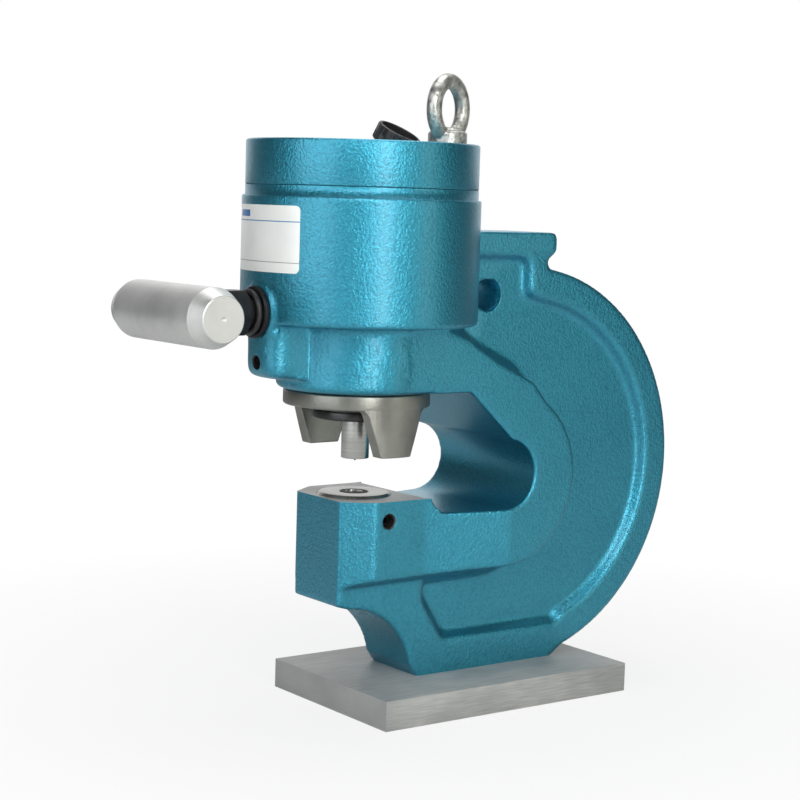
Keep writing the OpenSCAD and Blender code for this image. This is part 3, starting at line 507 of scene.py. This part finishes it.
# The borer cuts the bore bare, and outside the wall it leaves the paint.
painted_from = 0.065
borer = turned([(0, 0.203), (0.0275, 0.203), (0.0275, 0.2095), (0.0228, 0.2095),
                (0.0228, 0.211), (0.028, 0.211), (0.028, 0.222), (0.0352, 0.222),
                (0.0352, 0.2515), (0.0436, 0.2515), (0.0436, 0.3103), (0.0496, 0.3103),
                (0.0496, 0.3307), (0.0731, 0.3307), (0.0731, 0.3245), (0.0742, 0.3245),
                (0.0752, 0.3235), (0.08, 0.3235), (0.08, 0.345), (0, 0.345)], steps=192)
coated(borer, bored_iron, enamel)
select_where(borer, lambda c: math.hypot(c.x, c.y) > painted_from, "FACE")
borer.active_material_index = 1
bpy.ops.object.material_slot_assign()
miller = block((-0.005, 0, jaw_top + 0.0065), (0.08, 0.12, 0.013), milled_iron)
facer = block((0.1, 0, plate_top - 0.01), (0.3, 0.2, 0.02), milled_iron)
seat = coated(plug(0.02377, 0.1115, 0.139, steps=96), bored_iron)
slug_way = coated(plug(0.0116, 0.05, 0.113), bored_iron)
lift = turned([(0.0113, -0.03), (0.0113, -0.0189), (0.0102, -0.0179), (0.0102, 0.0179),
               (0.0113, 0.0189), (0.0113, 0.03)], at_lift, 64)
cut(casting, borer, miller, facer, seat, slug_way, coated(lift, enamel),
    drill(0.00425, 0.0143, at_lock, 0.0009, tapped_iron_painted_shade, coarse_tap),
    drill(0.00425, 0.018, at_lug, 0.0009, tapped_iron_painted_shade, coarse_tap),
    drill(0.01152, 0.0218, at_handle, 0.0006, bored_iron))
settle(casting, "painted_casting", enamel, "press", "frame", slot="teal_paint", angle=35)

# ---------------------------------------------------------------- Cylinder cap
# The screwed-in cap that closes the cylinder, 146 mm across and painted with the casting.
# Four holes in its top take a pin spanner; the eye and the coupler screw into it.
cap_top, coupler_height = 0.3588, 0.34475
at_eye = about(-22.8, 0.0542, cap_top) @ Matrix.Rotation(math.radians(44.8), 4, "Z")
at_coupler = about(66, 0, coupler_height) @ Matrix.Rotation(math.radians(90), 4, "Y")


def washer(inner, outer, low, high, place=Matrix(), steps=128):
    """A flat ring."""
    return turned([(inner, low), (outer, low), (outer, high), (inner, high), (inner, low)],
                  place, steps)


cap = turned([(0, 0.3107), (0.0482, 0.3107), (0.04898, 0.3115), (0.04898, 0.31895),
              (0.04548, 0.31895), (0.04548, 0.32245), (0.04898, 0.32245), (0.04898, 0.3307),
              (0.0724, 0.3307), (0.0731, 0.3314), (0.0731, 0.3578), (0.0721, cap_top),
              (0, cap_top)], steps=192)
rounded(coated(cap, enamel), 0.0003)
eye_hole = [(0.00502, -0.0158), (0.00502, -0.0008), (0.0058, 0), (0.0058, 0.004)]
for bore in (plug(0.0154, 0.0712, 0.08, at_coupler), plug(0.00902, 0.0554, 0.075, at_coupler, 48),
             plug(0.0035, 0.30, 0.3445, steps=24), plug(0.0025, -0.001, 0.06, at_coupler, 24),
             turned(eye_hole, at_eye, 48)):
    cut(cap, coated(bore, milled_iron))
for turn in (45, 135, 225, 315):
    cut(cap, drill(0.004, 0.009, about(turn, 0.034, cap_top), 0.0008, milled_iron))
settle(cap, "painted_cylinder_cap", enamel, "press", "cylinder_cap", slot="teal_paint")

seal_rubber = clouded("seal_rubber", (0.02, 0.02, 0.02), 0.0, 0.42, 300.0, 3.0,
                      (0.012, 0.012, 0.012), (0.03, 0.03, 0.03), 0.3, 0.5, 0.1)
seal = rounded(washer(0.0455, 0.04896, 0.31897, 0.32243), 0.0006, 3)
settle(seal, "cap_seal_ring", seal_rubber, "press", "cap_seal", slot="seal_rubber")

# ---------------------------------------------------------------- Lifting eye
# A drop-forged and galvanised M10 eye bolt: a 45 mm ring of 10 mm stock that runs into a
# round collar. The dies left a ragged flash line round the ring's outer edge.
galvanised, shader = new_finish("galvanised_steel", (0.55, 0.55, 0.52), 0.8, 0.4)
spangle = noise(galvanised, 190.0, 4.0)
spangle.node.inputs["Roughness"].default_value = 0.6
beads = add(galvanised, "TexVoronoi", {"Vector": place_on(galvanised), "Scale": 420.0,
                                       "Smoothness": 0.8}, "Distance", feature="SMOOTH_F1")
crust = add(galvanised, "Math", {0: spangle, 1: beads}, operation="ADD")
join(galvanised, shader, colours(galvanised, between(galvanised, spangle, 0.35, 0.65),
                                 (0.34, 0.34, 0.32), (0.74, 0.74, 0.69)),
     between(galvanised, spangle, 0.3, 0.7, 0.28, 0.5), crust, 0.45, 0.0006)
at_ring = Matrix.Translation((0, 0, 0.02252)) @ to_side
collar = turned([(0, -0.001), (0.0121, -0.001), (0.0124, 0.0), (0.0124, 0.0072),
                 (0.0116, 0.0084), (0.0092, 0.0094), (0.0074, 0.0112), (0, 0.0112)], steps=64)
bpy.ops.mesh.primitive_torus_add(major_radius=0.0175, minor_radius=0.0049, major_segments=96,
                                 minor_segments=40)
eye = bpy.context.object
eye.matrix_world = at_ring
forged(joined(eye, collar), 0.0006, 6)
settle(eye, "eye_forging", galvanised, "press")
flash = washer(0.0212, 0.02225, -0.0004, 0.0004, at_ring)
select_where(flash, lambda v: math.hypot(v.x, v.y) > 0.0218)
bpy.ops.transform.vertex_random(offset=0.00018, seed=4)
bpy.ops.object.mode_set(mode="OBJECT")
crests = [(r, -0.0145 + 0.00075 * n) for n, r in enumerate([0.00498, 0.0043] * 9)]
thread = turned([(0, -0.015), (0.0042, -0.015), *crests, (0.0049, 0.0004), (0, 0.0004)],
                steps=48)
joined(eye, flash, thread)
eye.matrix_world = at_eye
settle(eye, "lifting_eye_bolt", galvanised, "press", "lifting_eye", slot="forged_steel",
       angle=40)

# ---------------------------------------------------------------- Coupler
# Plug half of a quick coupler, zinc plated: a 26 mm hexagon, a neck and a grooved nose.
# The valve poppet stands in its mouth.


def hexagon(across, low, high, place):
    """A bar with six flats whose ends are chamfered on a lathe."""
    bevel, spare, past = 0.0016, 0.001, 0.004
    radius = across / math.sqrt(3)
    bar = rounded(turned([(radius, low), (radius, high)], place, 6), 0.0002)
    for start, way in ((low, 1), (high, -1)):
        outside, inside = start - way * spare, start + way * (bevel + spare)
        cut(bar, turned([(radius - bevel - spare, outside), (radius + past, outside),
                         (radius + past, inside), (radius + spare, inside),
                         (radius - bevel - spare, outside)], place, 64))
    return bar


def turned_metal(name, dark, light, metallic, low, high, strength, centre=(0, 0, 0),
                 axis=(0, 0, 1)):
    """A lathe-turned metal: fine rings about an axis, of slightly different tone and height,
    under a cloudy sheen."""
    finish, shader = new_finish(name, light, metallic, high)
    own = add(finish, "TexCoord", {}, "Object")
    moved = add(finish, "VectorMath", {0: own, 1: centre}, operation="SUBTRACT")
    along = add(finish, "VectorMath", {0: moved, 1: axis}, "Value", operation="DOT_PRODUCT")
    reach = add(finish, "VectorMath", {0: moved, 1: moved}, "Value", operation="DOT_PRODUCT")
    square = add(finish, "Math", {0: along, 1: along}, operation="MULTIPLY")
    across = add(finish, "Math", {0: reach, 1: square}, operation="SUBTRACT")
    radius = add(finish, "Math", {0: across, 1: 0.5}, operation="POWER")
    rings = add(finish, "CombineXYZ", {0: along, 1: radius})
    marks = add(finish, "TexNoise", {"Vector": rings, "Scale": 2400.0, "Detail": 2.0})
    cloud = noise(finish, 45.0, 4.0)
    blend = add(finish, "Math", {0: marks, 1: cloud}, operation="MULTIPLY")
    join(finish, shader, colours(finish, between(finish, blend, 0.12, 0.4), dark, light),
         between(finish, cloud, 0.3, 0.7, low, high), marks, strength, 0.00012)
    return finish


coupler_axis = (at_coupler.to_3x3() @ Vector((0, 0, 1)))[:]
plated = turned_metal("zinc_plate", (0.5, 0.49, 0.44), (0.72, 0.72, 0.69), 0.95, 0.2, 0.34, 0.1,
                      (0, 0, coupler_height), coupler_axis)
coupler = turned([(0, 0.0562), (0.0082, 0.0562), (0.009, 0.057), (0.009, 0.072),
                  (0.0085, 0.085), (0.0105, 0.085), (0.0105, 0.0896), (0.0120, 0.0896),
                  (0.0132, 0.0908), (0.0132, 0.0962), (0.0113, 0.0976), (0.0113, 0.1006),
                  (0.0132, 0.102), (0.0132, 0.1104), (0.0120, 0.1116), (0.0095, 0.1116),
                  (0.0085, 0.1106), (0.0085, 0.1066), (0.00345, 0.1066), (0.00345, 0.0936),
                  (0, 0.0936)], at_coupler, 96)
flats = hexagon(0.026, 0.0712, 0.0862,
                at_coupler @ Matrix.Rotation(math.radians(30), 4, "Z"))
settle(joined(rounded(coupler, 0.0002), flats), "coupler_plug", plated, "press", "coupler",
       slot="plated_steel")
poppet = turned([(0, 0.0981), (0.0026, 0.0981), (0.0034, 0.0989), (0.0034, 0.1071),
                 (0.0024, 0.1081), (0, 0.1081)], at_coupler, 48)
settle(rounded(poppet, 0.0002), "valve_poppet", plated, "coupler_valve", "coupler_poppet",
       slot="plated_steel")

# ---------------------------------------------------------------- Dust cap
# A moulded rubber cup on a strap, pulled off the coupler and left standing beside it.
# The shape of the CAD piece is melted a little, because moulded rubber has no sharp edge.
moulded_rubber = clouded("moulded_rubber", (0.02, 0.02, 0.022), 0.0, 0.4, 700.0, 3.0,
                         (0.012, 0.012, 0.013), (0.035, 0.035, 0.038), 0.3, 0.48, 0.2, 0.0002)
settle(forged(copy_of("dust_cap"), 0.00045, 4), "rubber_dust_cap", moulded_rubber, "press",
       "dust_cap", slot="black_rubber", angle=50)

# ---------------------------------------------------------------- Rating plate
# A bare silvered film, 68 by 40 mm, stuck round the front of the cylinder, with a thin blue
# rule near its top, a grey one near its foot and a plain blue field in the corner.
film, shader = new_finish("silver_film", (0.66, 0.66, 0.66), 0.15, 0.32)
ripple = noise(film, 60.0, 2.0)
own = add(film, "TexCoord", {}, "Object")
parts = add(film, "SeparateXYZ", {0: own}).node.outputs
across, tall = parts["Y"], parts["Z"]


def band(low, high, value):
    """One inside a range of a coordinate, nought outside it."""
    above = add(film, "Math", {0: value, 1: low}, operation="GREATER_THAN")
    below = add(film, "Math", {0: value, 1: high}, operation="LESS_THAN")
    return add(film, "Math", {0: above, 1: below}, operation="MULTIPLY")


ruled = colours(film, ripple, (0.84, 0.86, 0.85), (0.97, 0.97, 0.93))
ruled = colours(film, band(0.3086, 0.3092, tall), ruled, (0.05, 0.22, 0.5))
ruled = colours(film, band(0.2842, 0.2846, tall), ruled, (0.25, 0.27, 0.28))
corner_field = add(film, "Math", {0: band(0.3112, 0.3152, tall), 1: band(0.012, 0.0285, across)},
                   operation="MULTIPLY")
ruled = colours(film, corner_field, ruled, (0.03, 0.16, 0.42))
join(film, shader, ruled, None, ripple, 0.05, 0.0002)
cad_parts["name_plate"].material_slots[0].material = film

# ---------------------------------------------------------------- Handle
# The gland, its rubber ring, a 27 mm black hexagon stem and a turned aluminium cross grip,
# 36 mm by 110 mm with long bevelled ends. They stand on one axis, square to the cylinder.
gland = turned([(0.00805, -0.016), (0.0108, -0.016), (0.0115, -0.0153), (0.0115, 0.0),
                (0.0153, 0.0), (0.016, 0.0007), (0.016, 0.0027), (0.0151, 0.0035),
                (0.0093, 0.0035), (0.00805, 0.0024), (0.00805, -0.016)], at_handle, 96)
settle(rounded(gland, 0.0002), "handle_gland", black_oxide, "press", "handle_bush",
       slot="black_steel")
bpy.ops.mesh.primitive_torus_add(major_radius=0.01242, minor_radius=0.0019,
                                 major_segments=96, minor_segments=24)
ring = bpy.context.object
ring.matrix_world = at_handle @ Matrix.Translation((0, 0, 0.0057))
settle(ring, "handle_rubber_ring", seal_rubber, "handle", "handle_seal", slot="seal_rubber",
       angle=60)
stem = turned([(0, -0.0203), (0.0072, -0.0203), (0.008, -0.0195), (0.008, -0.0178),
               (0.007, -0.0178), (0.007, -0.0163), (0.008, -0.0163), (0.008, 0.0038),
               (0.0100, 0.0038), (0.0105, 0.0043), (0.0105, 0.012), (0.0069, 0.020),
               (0.0069, 0.0622), (0.0062, 0.063), (0, 0.063)], at_handle, 96)
settle(joined(rounded(stem, 0.0002), hexagon(0.027, 0.0113, 0.043, at_handle)),
       "hexagon_stem", black_oxide, "handle", "handle_stem", slot="black_steel")
clip = rounded(washer(0.00702, 0.0106, -0.01778, -0.01632, at_handle, 64), 0.0003)
settle(clip, "stem_clip", plated, "handle", "handle_retainer", slot="plated_steel")
grip_middle = (-0.132, 0, 0.2535)
aluminium = turned_metal("turned_aluminium", (0.66, 0.66, 0.65), (0.84, 0.84, 0.82), 0.72, 0.34,
                         0.46, 0.14, grip_middle, (0, 1, 0))
grip = turned([(0, -0.0535), (0.0016, -0.055), (0.0132, -0.055), (0.0138, -0.0547),
               (0.0179, -0.0441), (0.0179, 0.0441), (0.0138, 0.0547), (0.0132, 0.055),
               (0.0016, 0.055), (0, 0.0535)], Matrix.Translation(grip_middle) @ to_side, 128)
rounded(coated(grip, aluminium), 0.00025)
cut(grip, coated(plug(0.0164, 0.0361, 0.043, at_handle, 96), aluminium),
    coated(plug(0.00702, 0.041, 0.0638, at_handle, 48), aluminium))
settle(grip, "cross_grip", aluminium, "handle", "handle_grip", slot="turned_aluminium",
       angle=12)

# ---------------------------------------------------------------- Ram
# Piston and rod in one, 86 mm and 45 mm across, with a lip seal and a guide ring in its
# grooves, the return spring under it, and the bush and wiper that the rod runs in.
rod_steel = turned_metal("rod_steel", (0.4, 0.4, 0.39), (0.62, 0.62, 0.6), 0.95, 0.16, 0.26, 0.1)
ram = turned([(0, 0.19502), (0.018, 0.19502), (0.018, 0.2035), (0.0225, 0.2035),
              (0.0225, 0.2884), (0.04215, 0.2884), (0.04295, 0.2892), (0.04295, 0.2924),
              (0.03945, 0.2924), (0.03945, 0.2974), (0.04295, 0.2974), (0.04295, 0.3014),
              (0.03945, 0.3014), (0.03945, 0.3064), (0.04295, 0.3064), (0.04295, 0.3096),
              (0.04215, 0.3104), (0, 0.3104)], steps=128)
settle(rounded(ram, 0.0002), "piston_and_rod", rod_steel, "ram_and_punch", "ram",
       slot="ground_steel")
seal_plastic = clouded("filled_plastic", (0.16, 0.07, 0.035), 0.0, 0.4, 240.0, 4.0,
                       (0.11, 0.045, 0.02), (0.22, 0.1, 0.05), 0.32, 0.5, 0.1)
groove, slack = 0.005, 0.00002
for name, node, low, finish, slot in (
        ("piston_lip_seal", "piston_seal", 0.3014, seal_rubber, "seal_rubber"),
        ("piston_guide_ring", "guide_ring", 0.2924, seal_plastic, "seal_plastic")):
    band_ring = washer(0.03947, 0.04295, low + slack, low + groove - slack)
    settle(rounded(band_ring, 0.0004), name, finish, "ram_and_punch", node, slot=slot)
spring_steel = clouded("spring_steel", (0.09, 0.1, 0.11), 0.8, 0.36, 210.0, 4.0,
                       (0.05, 0.055, 0.06), (0.16, 0.17, 0.18), 0.28, 0.46, 0.15)
coil = copy_of("return_spring")
settle(coil, "return_coil_spring", spring_steel, "press", "return_spring", slot="spring_steel",
       angle=50)
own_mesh(coil)
bronze = turned_metal("bush_bronze", (0.4, 0.22, 0.08), (0.62, 0.38, 0.16), 0.95, 0.24, 0.36,
                      0.12)
settle(rounded(washer(0.02255, 0.02798, 0.211, 0.222), 0.0004), "rod_guide_bush", bronze,
       "press", "rod_bush", slot="bronze")
settle(rounded(washer(0.02255, 0.02748, 0.2045, 0.2095), 0.0006, 3), "rod_wiper_ring",
       seal_rubber, "press", "rod_wiper", slot="seal_rubber")

# ---------------------------------------------------------------- Punch and nut
# The nut, 57 mm across in dark tool steel, clamps the headed punch under the rod. The punch
# is ground to 17.8 mm with a small centre point that finds the centre-punch mark.
dark_steel = turned_metal("dark_tool_steel", (0.05, 0.05, 0.052), (0.11, 0.11, 0.112), 0.85,
                          0.26, 0.42, 0.15)
nut = turned([(0.00892, 0.186), (0.0277, 0.186), (0.0285, 0.1868), (0.0285, 0.1912),
              (0.0279, 0.1916), (0.0279, 0.1924), (0.0285, 0.1928), (0.0285, 0.2027),
              (0.0277, 0.2035), (0.01802, 0.2035), (0.01802, 0.195), (0.01302, 0.195),
              (0.01302, 0.189), (0.00892, 0.189), (0.00892, 0.186)], steps=128)
settle(rounded(nut, 0.0002), "punch_clamp_nut", dark_steel, "ram_and_punch", "punch_nut",
       slot="dark_steel")
tool_steel = turned_metal("tool_steel", (0.42, 0.42, 0.4), (0.66, 0.66, 0.63), 0.95, 0.18, 0.3,
                          0.14)
punch = turned([(0, 0.15815), (0.0016, 0.16015), (0.0087, 0.16015), (0.0089, 0.16035),
                (0.0089, 0.189), (0.0128, 0.189), (0.013, 0.1892), (0.013, 0.1948),
                (0.0128, 0.195), (0, 0.195)])
settle(rounded(punch, 0.0001, 1), "headed_punch", tool_steel, "ram_and_punch", "punch",
       slot="tool_steel")

# ---------------------------------------------------------------- Stripper
# A cast steel ring under the housing whose two tapered legs hold the work down while the
# punch draws out. Four M6 socket screws hold it from below.
cast_steel, shader = new_finish("stripper_cast_steel", (0.3, 0.3, 0.28), 0.92, 0.36)
cast_cloud = noise(cast_steel, 35.0, 4.0)
join(cast_steel, shader, colours(cast_steel, between(cast_steel, cast_cloud, 0.3, 0.7),
                                 (0.22, 0.22, 0.2), (0.38, 0.38, 0.345)),
     between(cast_steel, cast_cloud, 0.3, 0.7, 0.3, 0.44), noise(cast_steel, 500.0, 4.0), 0.35,
     0.0003)
# The legs are the CAD piece's own, cut off under its ring and grown into a turned one.
leg_cut, into_ring = 0.1944, 0.0015
legs = copy_of("stripper")
select_where(legs, lambda v: True)
bpy.ops.mesh.bisect(plane_co=(0, 0, leg_cut), plane_no=(0, 0, 1), clear_outer=True,
                    use_fill=True)
select_where(legs, lambda v: v.z > leg_cut - near)
bpy.ops.transform.translate(value=(0, 0, into_ring))
bpy.ops.object.mode_set(mode="OBJECT")
coated(forged(legs, 0.0005, 5), cast_steel)
stripper = turned([(0.031, 0.1945), (0.0458, 0.1945), (0.0466, 0.1953), (0.0466, 0.2032),
                   (0.0458, 0.204), (0.038, 0.204), (0.038, 0.2045), (0.031, 0.2045),
                   (0.031, 0.1945)], steps=160)
coated(rounded(stripper, 0.0002), cast_steel)
for place in at_stripper_screws:
    cut(stripper, turned([(0.0053, 0.19), (0.0053, 0.1995), (0.0033, 0.1995), (0.0033, 0.21)],
                         place, 32))
settle(joined(stripper, legs), "stripper_casting", cast_steel, "press", "stripper",
       slot="cast_steel", angle=50)
stripper_screw = socket_screw([(0, 0.1949), (0.0046, 0.1949), (0.005, 0.1953),
                               (0.005, 0.1992), (0.0047, 0.1995), (0.003, 0.1995),
                               (0.003, 0.2139), (0.0024, 0.2145), (0, 0.2145)],
                              0.0029, 0.194, 0.1975)
spread(stripper_screw, "stripper_socket_screws", "stripper_screws", at_stripper_screws)

# ---------------------------------------------------------------- Die
# A hardened, ground bush in the jaw, 47.5 mm across with an 18.4 mm hole, held by a grub
# screw from the side.
die_steel = turned_metal("die_ground_steel", (0.3, 0.3, 0.29), (0.5, 0.5, 0.47), 0.9, 0.22,
                         0.34, 0.16)
die = turned([(0.011, 0.1115), (0.02295, 0.1115), (0.02375, 0.1123), (0.02375, 0.1365),
              (0.02175, 0.1385), (0.0098, 0.1385), (0.0092, 0.1379), (0.0092, 0.1325),
              (0.011, 0.1317), (0.011, 0.1115)], steps=128)
settle(rounded(die, 0.0002), "cutting_die", die_steel, "press", "die", slot="tool_steel")
grub = socket_screw([(0, 0.0), (0.0036, 0.0), (0.00423, 0.0006), (0.00423, 0.0084),
                     (0.0037, 0.009), (0, 0.009)], 0.0023, 0.005, 0.011)
spread(grub, "die_grub_screw", "die_lock_screw",
       [at_lock @ Matrix.Translation((0, 0, -0.01423))])
